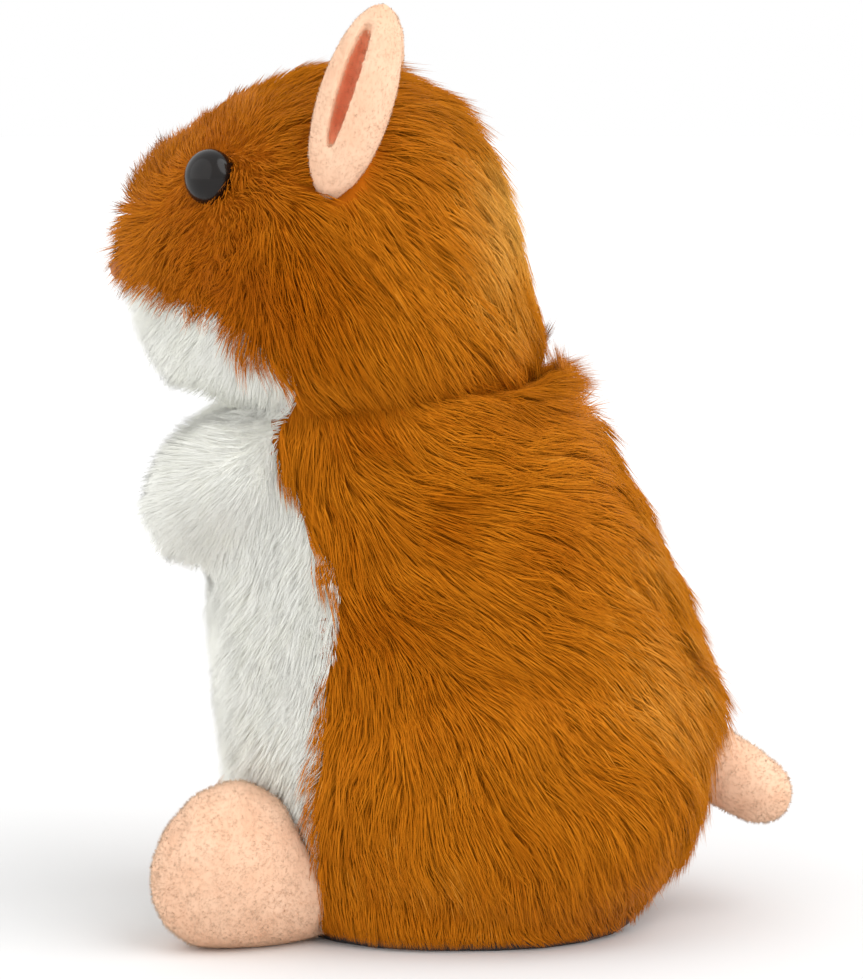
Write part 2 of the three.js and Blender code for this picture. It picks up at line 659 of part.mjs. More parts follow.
function idler(index) {
  const [from, to] = [LAYERS[index][1] - 0.2, LAYERS[index + 1][1] + 0.1];
  return cut(join(wheel(index), pinion(index + 1, from, to)), bar("x", -2, 12, AXLES[index + 1], 1.25, 12));
}

function motorPinion() {
  return join(pinion(0, 1, LAYERS[0][1] + 0.2), bar("x", MOTOR.to - 2.4, 1.5, AXLES[0], 0.75, 10));
}

const camShaft = bar("x", CAM.from - 0.6, GEARBOX.outer + GEARBOX.thick, CAM_AXLE, CAM.shaft, 12);
const shaftHole = bar("x", -20, 20, CAM_AXLE, CAM.shaft + 0.3, 12);

// Two plates carry the train. The inner one has the idlers' posts, and the outer one the four spacers.
function gearboxPlates() {
  const { inner, outer, thick, front, back, bottom, top } = GEARBOX;
  const posts = [AXLES[1], AXLES[2]].map((at) => bar("x", inner + 0.5, outer + thick - 0.2, at, 1, 12));
  const innerPlate = block([inner, front, bottom], [inner + thick, back, top]);
  const outerPlate = block([outer, front, bottom], [outer + thick, back, top]);
  const holes = [AXLES[1], AXLES[2]].map((at) => bar("x", outer - 1, outer + 3, at, 1.3, 12));
  const spacers = [[-2.3, 29], [15.6, 40], [15.6, 65], [-2.3, 64.5]].map((at) =>
    bar("x", inner + thick + GAP, outer + 0.4, at, 1.6, 10),
  );
  const motorHole = bar("x", -3, 3, AXLES[0], 1.8, 12);
  return [
    join(cut(innerPlate, motorHole, shaftHole), ...posts),
    cut(join(outerPlate, ...spacers), ...holes, shaftHole),
  ];
}

// A round cam whose middle stands off the shaft, level with it at rest.
function cam() {
  const [y, z] = CAM_AXLE;
  return cut(bar("x", CAM.from, CAM.to, [y + CAM.throw, z], CAM.r, 20), shaftHole);
}

// ---------------------------------------------------------------- the base

const switchSlot = (low, high, room) => {
  const reach = SWITCH.half - room;
  return block([SWITCH.x - reach, SWITCH.y - 1.5, low], [SWITCH.x + reach, SWITCH.y + 1.5, high]);
};

const bayOutline = (room, low, high) =>
  join(
    block([-BAY.half + room, BAY.front + room, low], [BAY.half - room, BAY.back - room, high]),
    block([-DOOR.tab + room, BAY.back - room - 1, low], [DOOR.tab - room, DOOR.tabBack - room, high]),
  );

// The base is the sole that the skin is clamped to, and the box for the cells.
function batteryTray() {
  const walls = block([-TRAY.half, TRAY.front, 0], [TRAY.half, TRAY.back, TRAY.top]);
  const boss = bar("z", 2, 11, [0, DOOR.screwY + 0.4], 3);
  const box = walls.intersect(trunkLump(SKIN + EASE, -1, 30, 6));
  const body = join(sole(SOLE_INSET, 0, TRAY.flange), box, boss);
  const bay = block([-BAY.half, BAY.front, -1], [BAY.half, BAY.back, BAY.top]);
  const doorSeat = bayOutline(0, -1, DOOR.top + GAP);
  const screwHole = bar("z", -1, 9.5, [0, DOOR.screwY], 1.2 + GAP, 12);
  const leads = [[23.4, -9.2], [-23.4, 12.8]].map((at) => bar("z", 10, 20, at, 1, 8));
  return cut(body, bay, doorSeat, screwHole, switchSlot(-1, 4, 0.4), ...leads);
}

function batteryDoor() {
  const plate = bayOutline(0.3, DOOR.bottom, DOOR.top);
  const hole = bar("z", -1, 4, [0, DOOR.screwY], 1.2 + GAP, 12);
  const sink = bar("z", -1, DOOR.bottom + 0.9, [0, DOOR.screwY], 2.5, 12);
  const grip = [-12, -10.4, -8.8, -7.2].map((y) => block([-7, y, 0], [7, y + 0.6, DOOR.bottom + 0.4]));
  return cut(plate, hole, sink, ...grip);
}

function doorScrew() {
  const head = bar("z", DOOR.bottom, DOOR.bottom + 0.7, [0, DOOR.screwY], 2.2, 12);
  const shank = bar("z", DOOR.bottom + 0.3, 8.6, [0, DOOR.screwY], 1.2, 12);
  const slot = block([-1.6, DOOR.screwY - 0.3, 0], [1.6, DOOR.screwY + 0.3, DOOR.bottom + 0.35]);
  return cut(join(head, shank), slot);
}

// Cells lie across the animal, side by side, each turned the other way from its neighbour.
const cellY = (index) => CELL.y + (index - 1) * CELL.pitch;
const cellSide = (index) => (index % 2 === 0 ? 1 : -1);

function cell(index) {
  const [end, side] = [CELL.length / 2, cellSide(index)];
  const at = [cellY(index), CELL.z];
  const shoulder = side * (end - CELL.nub);
  const body = bar("x", Math.min(shoulder, -side * end), Math.max(shoulder, -side * end), at, CELL.r, 16);
  return join(body, bar("x", Math.min(side * end, 0), Math.max(side * end, 0), at, CELL.nubR, 12));
}

// A contact plate at one end of the bay. It has a spring for a cell's flat end, or a dimple for its nub.
function contact(side, cells) {
  const wallX = side * (BAY.half - GAP);
  const faceX = wallX - side * 0.4;
  const slab = (from, to, low, high) =>
    block([Math.min(from, to), low[0], low[1]], [Math.max(from, to), high[0], high[1]]);
  const [first, last] = [cellY(cells[0]), cellY(cells[cells.length - 1])];
  const plate = slab(wallX, faceX, [first - 4, CELL.z - 4], [last + 4, CELL.z + 4]);
  const touches = cells.map((index) => {
    const [y, reach] = [cellY(index), CELL.length / 2 + GAP];
    const start = faceX + side * 0.1;
    if (cellSide(index) !== side) return coil(start, side * reach, y, CELL.z);
    return slab(start, side * reach, [y - 1.4, CELL.z - 1.4], [y + 1.4, CELL.z + 1.4]);
  });
  return join(plate, ...touches);
}

// A conical spring along X that narrows towards the cell.
function coil(from, to, y, z) {
  const turns = 2;
  const wire = 0.35;
  const inward = Math.sign(to - from) * wire;
  const points = heights(0, 1, turns * 6 + 1).map((t) => {
    const angle = t * turns * Math.PI * 2;
    const r = 3.4 - 1.6 * t;
    return [from + (to - inward - from) * t, y + r * Math.cos(angle), z + r * Math.sin(angle)];
  });
  return tube(points, wire, turns * 8, 5);
}

function switchBody() {
  return block([SWITCH.x - SWITCH.half, SWITCH.y - 2.2, 4.6], [SWITCH.x + SWITCH.half, SWITCH.y + 2.2, 9]);
}

// The knob lies at the off end of its slot.
function switchKnob() {
  const middle = SWITCH.x - SWITCH.travel / 2;
  const stem = block([middle - 1.6, SWITCH.y - 1.1, 0.7], [middle + 1.6, SWITCH.y + 1.1, 4.2]);
  const ridges = [-1, 0, 1].map((i) => {
    const x = middle + i * 1.05;
    return block([x - 0.2, SWITCH.y - 2, 0], [x + 0.2, SWITCH.y + 2, 1]);
  });
  return cut(stem, ...ridges);
}

// ---------------------------------------------------------------- leads

const LEADS = {
  battery_lead_red: [
    [23.4, -9.2, 12.6],
    [23.4, -9.2, 20],
    [22.4, -9, 23.6],
    [18, -9, 24.2],
    [15.2, -9.4, 27],
  ],
  battery_lead_black: [
    [-23.4, 12.8, 12.6],
    [-23.4, 12.8, 17.6],
    [-21.6, 12.8, 20],
    [-14, 13, 19.8],
    [2, 13, 19.6],
    [12, 12, 19.7],
    [15.6, 10.6, 21],
    [15.4, 10, 25],
  ],
  motor_lead: [
    [-18.5, 5, 29],
    [-18.5, 5, 21.4],
    [-17, 4, 19.6],
    [-12, 3, 19.4],
    [2, 2, 19.4],
    [11, 1.4, 20],
    [12.6, 1, 24],
  ],
  speaker_lead: [[7.8, -7, 33], [9.4, -7.4, 36], [11, -8, 38], [12.8, -9, 39.5]],
};

// ---------------------------------------------------------------- the whole animal

const finish = (color, roughness, metalness = 0) =>
  new THREE.MeshStandardMaterial({ color, roughness, metalness });
const finishes = {
  brownFur: finish(0xb4690e, 0.9),
  whiteFur: finish(0xe3e6dc, 0.95),
  plush: finish(0xefc8a4, 0.95),
  nose: finish(0xc9806a, 0.8),
  eye: finish(0x16181c, 0.08),
  stuffing: finish(0xf4f2ec, 1),
  whitePlastic: finish(0xe8e6e0, 0.5),
  greyPlastic: finish(0x8c8f92, 0.5),
  blackPlastic: finish(0x1c1c1e, 0.45),
  gear: finish(0xf2efe4, 0.4),
  steel: finish(0xb8bbbe, 0.3, 1),
  board: finish(0x2f6b3a, 0.5),
  resin: finish(0x0e0e10, 0.35),
  paper: finish(0x3a3836, 0.9),
  cell: finish(0x9a9da1, 0.3, 0.8),
  redWire: finish(0xb3231c, 0.5),
  blackWire: finish(0x1a1a1a, 0.5),
};

const parts = new THREE.Group();

function add(name, shape, material) {
  const mesh = new THREE.Mesh(geometryOf(shape), material);
  mesh.name = name;
  parts.add(mesh);
}

const [crown, chin] = headPanels();
add("body_fur", coat, finishes.brownFur);
add("belly_fur", bib, finishes.whiteFur);
add("head_fur", crown, finishes.brownFur);
add("chin_fur", chin, finishes.whiteFur);
for (const [name, side] of SIDES) {
  add(`${name}_haunch`, haunch(side), finishes.brownFur);
  add(`${name}_foot`, foot(name, side), finishes.plush);
  add(`${name}_paw`, paw(side), finishes.whiteFur);
  add(`${name}_ear`, ear(side), finishes.plush);
  add(`${name}_eye`, eye(side), finishes.eye);
  add(`${name}_eye_washer`, eyeWasher(side), finishes.whitePlastic);
}
add("tail", tail(), finishes.plush);
add("nose", noseBall(0), finishes.nose);
add("body_stuffing", bodyStuffing(), finishes.stuffing);
add("head_stuffing", headStuffing(), finishes.stuffing);

add("nod_arm", nodArm(), finishes.whitePlastic);
add("nod_pin", bar("x", -PIN.half, PIN.half, [NECK.y, NECK.z], PIN.r, 16), finishes.steel);
add("neck_bracket", neckBracket(), finishes.whitePlastic);
add("nod_cam", cam(), finishes.gear);
add("cam_shaft", camShaft, finishes.steel);
add("cam_gear", cut(wheel(2), shaftHole), finishes.gear);
add("idler_gear_1", idler(0), finishes.gear);
add("idler_gear_2", idler(1), finishes.gear);
add("motor_pinion", motorPinion(), finishes.gear);
add("motor", motor(), finishes.steel);
const [innerPlate, outerPlate] = gearboxPlates();
add("gearbox_inner_plate", innerPlate, finishes.greyPlastic);
add("gearbox_outer_plate", outerPlate, finishes.greyPlastic);

const [caseFront, caseRear] = caseHalves();
add("case_front", caseFront, finishes.whitePlastic);
add("case_rear", caseRear, finishes.whitePlastic);
for (const [name, side] of SIDES) add(`case_screw_${name}`, caseScrew(side * CASE_SCREW.x), finishes.steel);
add("speaker_frame", facingFront(speakerFrame, 18, 0, SPEAKER.y, SPEAKER.z), finishes.steel);
add("speaker_cone", facingFront(speakerCone, 18, 0, SPEAKER.y, SPEAKER.z), finishes.paper);
add("speaker_magnet", facingFront(speakerMagnet, 18, 0, SPEAKER.y, SPEAKER.z), finishes.steel);
add("microphone", facingFront(microphoneCan, 14, 0, SPEAKER.y, MICROPHONE_Z), finishes.steel);
add("circuit_board", circuitBoard(), finishes.board);
add("sound_chip", soundChip(), finishes.resin);

add("battery_tray", batteryTray(), finishes.blackPlastic);
add("battery_door", batteryDoor(), finishes.blackPlastic);
add("battery_door_screw", doorScrew(), finishes.steel);
for (const index of [0, 1, 2]) add(`battery_${index + 1}`, cell(index), finishes.cell);
add("contact_positive", contact(1, [0]), finishes.steel);
add("contact_bridge_right", contact(-1, [0, 1]), finishes.steel);
add("contact_bridge_left", contact(1, [1, 2]), finishes.steel);
add("contact_negative", contact(-1, [2]), finishes.steel);
add("switch_body", switchBody(), finishes.greyPlastic);
add("switch_knob", switchKnob(), finishes.blackPlastic);
for (const [name, points] of Object.entries(LEADS)) {
  add(name, tube(points, 0.6, 12, 5), name.endsWith("black") ? finishes.blackWire : finishes.redWire);
}

export default parts;
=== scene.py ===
import json
import math

import bmesh
import bpy
import numpy as np
from mathutils import Matrix, Vector
from mathutils.bvhtree import BVHTree

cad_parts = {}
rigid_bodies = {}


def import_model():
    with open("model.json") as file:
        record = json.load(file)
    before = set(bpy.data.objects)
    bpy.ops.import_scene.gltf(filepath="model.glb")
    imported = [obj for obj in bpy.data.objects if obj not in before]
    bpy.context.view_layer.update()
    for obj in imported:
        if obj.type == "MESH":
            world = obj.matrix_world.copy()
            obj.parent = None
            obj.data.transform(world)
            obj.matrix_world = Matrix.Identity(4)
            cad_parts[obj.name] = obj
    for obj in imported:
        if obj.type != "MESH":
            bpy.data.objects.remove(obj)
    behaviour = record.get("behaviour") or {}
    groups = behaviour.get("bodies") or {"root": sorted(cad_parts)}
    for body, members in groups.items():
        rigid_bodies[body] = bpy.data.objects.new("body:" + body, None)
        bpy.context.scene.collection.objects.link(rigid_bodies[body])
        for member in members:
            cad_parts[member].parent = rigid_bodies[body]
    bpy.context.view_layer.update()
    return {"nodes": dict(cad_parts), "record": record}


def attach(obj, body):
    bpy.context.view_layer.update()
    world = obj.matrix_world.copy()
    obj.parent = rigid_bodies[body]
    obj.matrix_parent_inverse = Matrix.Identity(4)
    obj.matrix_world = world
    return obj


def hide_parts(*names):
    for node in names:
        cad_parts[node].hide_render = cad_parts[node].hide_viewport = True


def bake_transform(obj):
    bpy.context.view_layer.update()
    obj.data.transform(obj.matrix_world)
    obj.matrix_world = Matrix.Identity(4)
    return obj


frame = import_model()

MM = 0.001

# ---------------------------------------------------------------- floor, light and camera
# The toy stands on a plain pale table in a white studio, under one broad, soft overhead light. It is
# seen squarely from its left side, from just above its own height.

bpy.ops.object.select_all(action="DESELECT")

FLOOR_SIZE = 12.0
bpy.ops.mesh.primitive_plane_add(size=FLOOR_SIZE, location=(0, 0, 0))
floor = bpy.context.object
floor.name = "table_top"


def linear(hex_colour):
    """An sRGB hex colour as linear RGBA."""
    values = [int(hex_colour[i : i + 2], 16) / 255 for i in (1, 3, 5)]
    return [v / 12.92 if v <= 0.04045 else ((v + 0.055) / 1.055) ** 2.4 for v in values] + [1.0]


def node(tree, kind, settings=None, **links):
    """Adds a node. Settings are its properties, and links its inputs, each a value or a socket."""
    made = tree.nodes.new(kind)
    for key, value in (settings or {}).items():
        setattr(made, key, value)
    for key, value in links.items():
        socket = made.inputs[key.replace("_", " ")]
        if isinstance(value, bpy.types.NodeSocket):
            tree.links.new(value, socket)
        else:
            socket.default_value = value
    return made


def material(name, **values):
    """A new material: itself, its tree and its shader, with plain values set on the shader's sockets."""
    made = bpy.data.materials.new(name)
    made.use_nodes = True
    tree = made.node_tree
    shader = tree.nodes["Principled BSDF"]
    for key, value in values.items():
        shader.inputs[key.replace("_", " ")].default_value = value
    return made, tree, shader


table_paint, tree, shader = material(
    "matt_table_paint", Base_Color=linear("#E4E4E4"), Roughness=0.9, Specular_IOR_Level=0.0
)
floor.data.materials.append(table_paint)

world = bpy.data.worlds.new("white_studio")
bpy.context.scene.world = world
world.use_nodes = True
world.node_tree.nodes["Background"].inputs["Color"].default_value = (1, 1, 1, 1)
world.node_tree.nodes["Background"].inputs["Strength"].default_value = 1.0


def soft_light(name, comes_from, energy, spread):
    """A broad, soft light from a direction."""
    light = bpy.data.lights.new(name, "SUN")
    light.energy = energy
    light.angle = math.radians(spread)
    lamp = bpy.data.objects.new(name, light)
    bpy.context.collection.objects.link(lamp)
    lamp.rotation_euler = Vector(comes_from).to_track_quat("Z", "Y").to_euler()


soft_light("rear_overhead_light", (0.35, 0.75, 0.75), 1.7, 60)
soft_light("front_fill_light", (0.45, -0.85, 0.3), 0.9, 90)

CAMERA_RISE = math.radians(7)
CAMERA_REACH = 0.62
CAMERA_AIM = Vector((0, -0.0041, 0.0755))
camera = bpy.data.objects.new("camera", bpy.data.cameras.new("camera"))
bpy.context.collection.objects.link(camera)
camera.data.lens = 129.7
camera.data.clip_start = 0.01
camera.location = CAMERA_AIM + CAMERA_REACH * Vector((math.cos(CAMERA_RISE), 0, math.sin(CAMERA_RISE)))
camera.rotation_euler = (CAMERA_AIM - camera.location).to_track_quat("-Z", "Y").to_euler()
bpy.context.scene.camera = camera
bpy.context.scene.view_settings.view_transform = "Standard"

# ---------------------------------------------------------------- the sewn skin
# Body and head are one bag of knitted backing, stuffed with polyester fibre. The crown, the coat and
# the thighs are brown, and the chin, the bib and the paws white. The neck is a tuck between body and head.

PUFF = 0.7 * MM # how far the stuffing swells each panel
SKIN_VOXEL, SKIN_ROUNDS = 2.0 * MM, 6
BROWN_NODES = ["body_fur", "head_fur", "left_haunch", "right_haunch"]
WHITE_NODES = ["belly_fur", "chin_fur", "left_paw", "right_paw"]


def copy_of(nodes, name, puff):
    """One mesh of copies of the frame's nodes, with their doubles merged, swollen a little."""
    work = bmesh.new()
    for each in nodes:
        work.from_mesh(frame["nodes"][each].data)
    bmesh.ops.remove_doubles(work, verts=work.verts, dist=0.01 * MM)
    work.normal_update()
    moves = [v.normal * puff for v in work.verts]
    for v, move in zip(work.verts, moves):
        v.co += move
    mesh = bpy.data.meshes.new(name)
    work.to_mesh(mesh)
    work.free()
    made = bpy.data.objects.new(name, mesh)
    bpy.context.collection.objects.link(made)
    return made


def choose(piece):
    """Makes a piece the only selected one, and the active one."""
    bpy.ops.object.select_all(action="DESELECT")
    piece.select_set(True)
    bpy.context.view_layer.objects.active = piece


def apply_modifier(piece, kind, **settings):
    """Adds a modifier, sets it and applies it."""
    choose(piece)
    modifier = piece.modifiers.new(kind.lower(), kind)
    for key, value in settings.items():
        setattr(modifier, key, value)
    bpy.ops.object.modifier_apply(modifier=modifier.name)


def soften(piece, voxel, rounds):
    """Melts a piece's solids into one skin, and rounds it."""
    apply_modifier(piece, "REMESH", mode="VOXEL", voxel_size=voxel)
    apply_modifier(piece, "SMOOTH", factor=0.5, iterations=rounds)
    choose(piece)
    bpy.ops.object.shade_smooth()


def keep_outside(piece):
    """Deletes every part of a mesh that isn't joined to its highest point."""
    choose(piece)
    bpy.ops.object.mode_set(mode="EDIT")
    bpy.ops.mesh.select_all(action="DESELECT")
    bpy.ops.object.mode_set(mode="OBJECT")
    max(piece.data.vertices, key=lambda v: v.co.z).select = True
    bpy.ops.object.mode_set(mode="EDIT")
    bpy.ops.mesh.select_mode(type="VERT")
    bpy.ops.mesh.select_linked()
    bpy.ops.mesh.select_all(action="INVERT")
    bpy.ops.mesh.delete(type="VERT")
    bpy.ops.object.mode_set(mode="OBJECT")


skin = copy_of(BROWN_NODES + WHITE_NODES + ["body_stuffing", "head_stuffing"], "sewn_skin", PUFF)
soften(skin, SKIN_VOXEL, SKIN_ROUNDS)
keep_outside(skin)

# The tuck between the chin and the paws is shallow: the white pile nearly fills it.
TUCK_FRONT, TUCK_HEIGHT, TUCK_SPREAD = -22, 91, 9
TUCK_ROUNDS = 50
front_of_neck = skin.vertex_groups.new(name="front_of_neck")
for vertex in skin.data.vertices:
    back, up = vertex.co.y / MM, vertex.co.z / MM
    weight = math.exp(-(((up - TUCK_HEIGHT) / TUCK_SPREAD) ** 2)) if back < TUCK_FRONT else 0.0
    front_of_neck.add([vertex.index], weight, "REPLACE")
apply_modifier(skin, "SMOOTH", factor=0.5, iterations=TUCK_ROUNDS, vertex_group="front_of_neck")


def tree_of(nodes):
    """A search tree over the faces of several of the frame's nodes."""
    work = bmesh.new()
    for each in nodes:
        work.from_mesh(frame["nodes"][each].data)
    found = BVHTree.FromBMesh(work)
    work.free()
    return found


def arrays(piece):
    """A mesh's points, normals and triangles."""
    mesh = piece.data
    mesh.calc_loop_triangles()
    points = np.zeros(len(mesh.vertices) * 3)
    mesh.vertices.foreach_get("co", points)
    normals = np.zeros(len(mesh.vertices) * 3)
    mesh.vertices.foreach_get("normal", normals)
    triangles = np.zeros(len(mesh.loop_triangles) * 3, dtype=int)
    mesh.loop_triangles.foreach_get("vertices", triangles)
    return points.reshape(-1, 3), normals.reshape(-1, 3), triangles.reshape(-1, 3)


def ramp(values, low, high):
    """From 0 at low to 1 at high, with soft ends."""
    t = np.clip((values - low) / (high - low), 0, 1)
    return t * t * (3 - 2 * t)


def overhang(places):
    """How far the brown fur's roots stand past the seam, in metres: over the white bib, but short of the
    white chin, since the fur lies back from the bib and hangs down over the chin."""
    on_head = ramp(places[:, 2], 84 * MM, 95 * MM)
    snout = ramp(places[:, 1], -38 * MM, -50 * MM)
    low = ramp(places[:, 2], 54 * MM, 28 * MM)
    chest = ramp(places[:, 2], 60 * MM, 72 * MM)
    waist = np.exp(-(((places[:, 2] / MM - 68) / 5) ** 2))
    shoulder = np.exp(-(((places[:, 2] / MM - 90) / 6) ** 2) - ((places[:, 1] / MM + 21) / 8) ** 2)
    throat = ramp(places[:, 2], 72 * MM, 80 * MM)
    seam = 4.4 + 1.2 * chest - 4.9 * low - 2.0 * waist - 2.0 * throat
    return (seam * (1 - on_head) - (5.2 - 3.6 * snout) * on_head + 11 * shoulder) * MM


brown_tree, white_tree = tree_of(BROWN_NODES), tree_of(WHITE_NODES)
skin_arrays = arrays(skin)
points = skin_arrays[0]
brownness = np.array(
    [white_tree.find_nearest(p)[3] - brown_tree.find_nearest(p)[3] for p in map(Vector, points)]
)
brownness += overhang(points)


def mottled(name, dark, light, scale, **values):
    """A material whose colour drifts softly between two shades. The scale is how many patches of colour
    fit in a metre, so 100 gives patches of 10 mm."""
    made, tree, shader = material(name, **values)
    place = node(tree, "ShaderNodeTexCoord")
    cloud = node(tree, "ShaderNodeTexNoise", Vector=place.outputs["Object"], Scale=scale, Detail=3.0)
    shades = node(tree, "ShaderNodeValToRGB", Fac=cloud.outputs["Fac"])
    shades.color_ramp.elements[0].position, shades.color_ramp.elements[1].position = 0.3, 0.7
    shades.color_ramp.elements[0].color, shades.color_ramp.elements[1].color = linear(dark), linear(light)
    tree.links.new(shades.outputs["Color"], shader.inputs["Base Color"])
    return made


skin.data.materials.append(
    mottled("brown_knitted_backing", "#A4520A", "#B8640E", 90.0, Roughness=0.95, Specular_IOR_Level=0.05)
)
skin.data.materials.append(
    mottled("white_knitted_backing", "#F6F5EA", "#FCFBF4", 90.0, Roughness=0.95, Specular_IOR_Level=0.1)
)
for polygon in skin.data.polygons:
    polygon.material_index = int(brownness[polygon.vertices[0]] < 0)
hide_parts(*BROWN_NODES, *WHITE_NODES)
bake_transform(skin)

# ---------------------------------------------------------------- the pile
# The pile is polyester fibre, combed and brushed. Each strand drawn is a few fibres: a closed tapering
# blade with its root in the skin, that bends over until its tip lies along the lay of the fur.

# How the fur lies on a flank: a place (back, up) in millimetres, and the way its tips point there.
BROWN_LAY = [
    ((-54, 129), (-0.6, 0.8)), ((-58, 119), (-0.8, -0.1)), ((-55, 112), (-0.5, -0.9)),
    ((-49, 121), (-0.5, -0.6)), ((-43, 116), (-0.2, -1.0)), ((-37, 119), (0.1, -1.0)),
    ((-28, 116), (0.45, -0.9)), ((-36, 129), (0.6, -0.5)), ((-40, 141), (-0.3, 1.0)),
    ((-29, 146), (0.6, 0.4)), ((-26, 136), (0.9, -0.1)), ((-6, 143), (0.85, -0.45)),
    ((1, 128), (0.82, -0.57)), ((7, 118), (0.7, -0.7)), ((-6, 123), (0.75, -0.66)),
    ((-16, 118), (0.6, -0.8)), ((-6, 106), (0.6, -0.8)), ((7, 103), (0.55, -0.83)),
    ((-21, 103), (0.4, -0.92)), ((-28, 104), (0.35, -0.94)), ((-13, 96), (0.35, -0.94)),
    ((-24, 86), (0.25, -0.97)), ((-21, 74), (0.2, -0.98)), ((-14, 87), (0.85, -0.5)),
    ((-1, 89), (0.97, -0.2)), ((14, 94), (0.99, -0.1)), ((-4, 77), (0.97, -0.2)),
    ((11, 77), (0.99, -0.08)), ((24, 81), (0.97, -0.22)), ((-9, 67), (0.8, -0.6)),
    ((4, 66), (0.9, -0.42)), ((21, 64), (0.88, -0.47)), ((32, 57), (0.8, -0.6)),
    ((-9, 57), (0.8, -0.6)), ((4, 54), (0.8, -0.6)), ((17, 51), (0.77, -0.64)),
    ((31, 44), (0.74, -0.67)), ((39, 37), (0.7, -0.7)), ((-14, 52), (0.1, -1.0)),
    ((-21, 41), (-0.35, -0.94)), ((-24, 27), (-0.2, -0.98)), ((-14, 34), (0.0, -1.0)),
    ((-6, 27), (0.2, -0.98)), ((2, 37), (0.45, -0.9)), ((7, 24), (0.45, -0.9)),
    ((17, 31), (0.55, -0.83)), ((27, 31), (0.62, -0.78)), ((32, 21), (0.5, -0.87)),
    ((-6, 11), (0.15, -0.99)), ((17, 11), (0.35, -0.94)), ((19, 92), (0.45, 0.9)),
    ((21, 86), (0.98, -0.1)), ((-47, 112), (-0.2, -1.0)),
]
WHITE_LAY = [
    ((-55, 106), (-0.7, -0.7)), ((-52, 98), (-0.6, -0.8)), ((-44, 104), (-0.3, -0.95)),
    ((-36, 97), (-0.2, -1.0)), ((-30, 88), (-0.3, -0.95)), ((-44, 88), (-0.7, 0.2)),
    ((-53, 84), (-0.9, 0.1)), ((-56, 76), (-1.0, -0.2)), ((-50, 68), (-0.6, -0.8)),
    ((-38, 78), (-0.5, -0.8)), ((-27, 72), (-0.1, -1.0)), ((-40, 58), (-0.1, -1.0)),
    ((-30, 55), (0.1, -1.0)), ((-22, 60), (0.1, -1.0)), ((-40, 40), (-0.1, -1.0)),
    ((-30, 35), (0.0, -1.0)),
]
HEM = -0.4 * MM # how low the tips of the lowest fur would reach, if the floor let them
BEND_AT = 0.45 # where along its length a guard strand bends
BEND_RISE = 0.12 # how far its middle stands off the skin, as a share of its length
ROUNDNESS = 0.5 # how far a strand's own roundness shows in its shading, beside the skin's
LOCK_SIZE = 2.6 * MM # the width of a lock of fur
LOWEST = 0.4 * MM # no strand goes under this
FLATNESS = 0.6 # a strand's thickness, as a share of its width


def ripple(places, wave, seed):
    """A smooth random number from about -1 to 1 at each place, with a given wavelength."""
    chance = np.random.default_rng(seed)
    total = np.zeros(len(places))
    for _ in range(6):
        way = chance.normal(size=3)
        way /= np.linalg.norm(way)
        total += np.sin(places @ way * (2 * np.pi / wave) * chance.uniform(0.7, 1.4) + chance.uniform(0, 6.3))
    return total / 2.6


def unit(vectors):
    """Vectors made one long."""
    return vectors / np.maximum(np.linalg.norm(vectors, axis=1, keepdims=True), 1e-12)


def lay_at(places, ups, lay):
    """The way the tips point at each place, along the skin."""
    flank = places[:, 1:] / MM
    way = np.zeros((len(places), 2))
    for spot, tips in lay:
        gap = ((flank - np.array(spot)) ** 2).sum(1)
        way += (np.array(tips) / np.hypot(*tips)) / (gap + 6.0)[:, None] ** 1.7
    ways = unit(np.column_stack([np.zeros(len(places)), way]))
    ways -= ups * (ways * ups).sum(1)[:, None]
    return unit(ways + 1e-6)


def scattered(skin_arrays, per_mm2, seed):
    """Random places on a skin at a density: each place, its normal, its triangle's corners and how much
    it takes from each of them."""
    points, normals, triangles = skin_arrays
    chance = np.random.default_rng(seed)
    corners = points[triangles]
    edges = corners[:, 1:] - corners[:, :1]
    areas = np.linalg.norm(np.cross(edges[:, 0], edges[:, 1]), axis=1) / 2
    count = int(areas.sum() / MM**2 * per_mm2)
    chosen = chance.choice(len(triangles), count, p=areas / areas.sum())
    a, b = np.sqrt(chance.random(count)), chance.random(count)
    shares = np.column_stack([1 - a, a * (1 - b), a * b])
    places = (corners[chosen] * shares[:, :, None]).sum(1)
    ups = unit((normals[triangles[chosen]] * shares[:, :, None]).sum(1))
    return places, ups, triangles[chosen], shares


def locks_of(places, size, seed):
    """Groups strands into locks: a number for each strand, from a wobbly grid."""
    wobble = np.column_stack([ripple(places, 9 * MM, seed + i) for i in range(3)]) * 0.6
    cells = np.floor(places / size + wobble).astype(int)
    return np.unique(cells, axis=0, return_inverse=True)[1].ravel()


def gathered(values, lock):
    """The mean of a value over each lock, given back to each of its strands."""
    count = np.maximum(np.bincount(lock), 1)
    return np.column_stack([np.bincount(lock, each) / count for each in values.T])[lock]


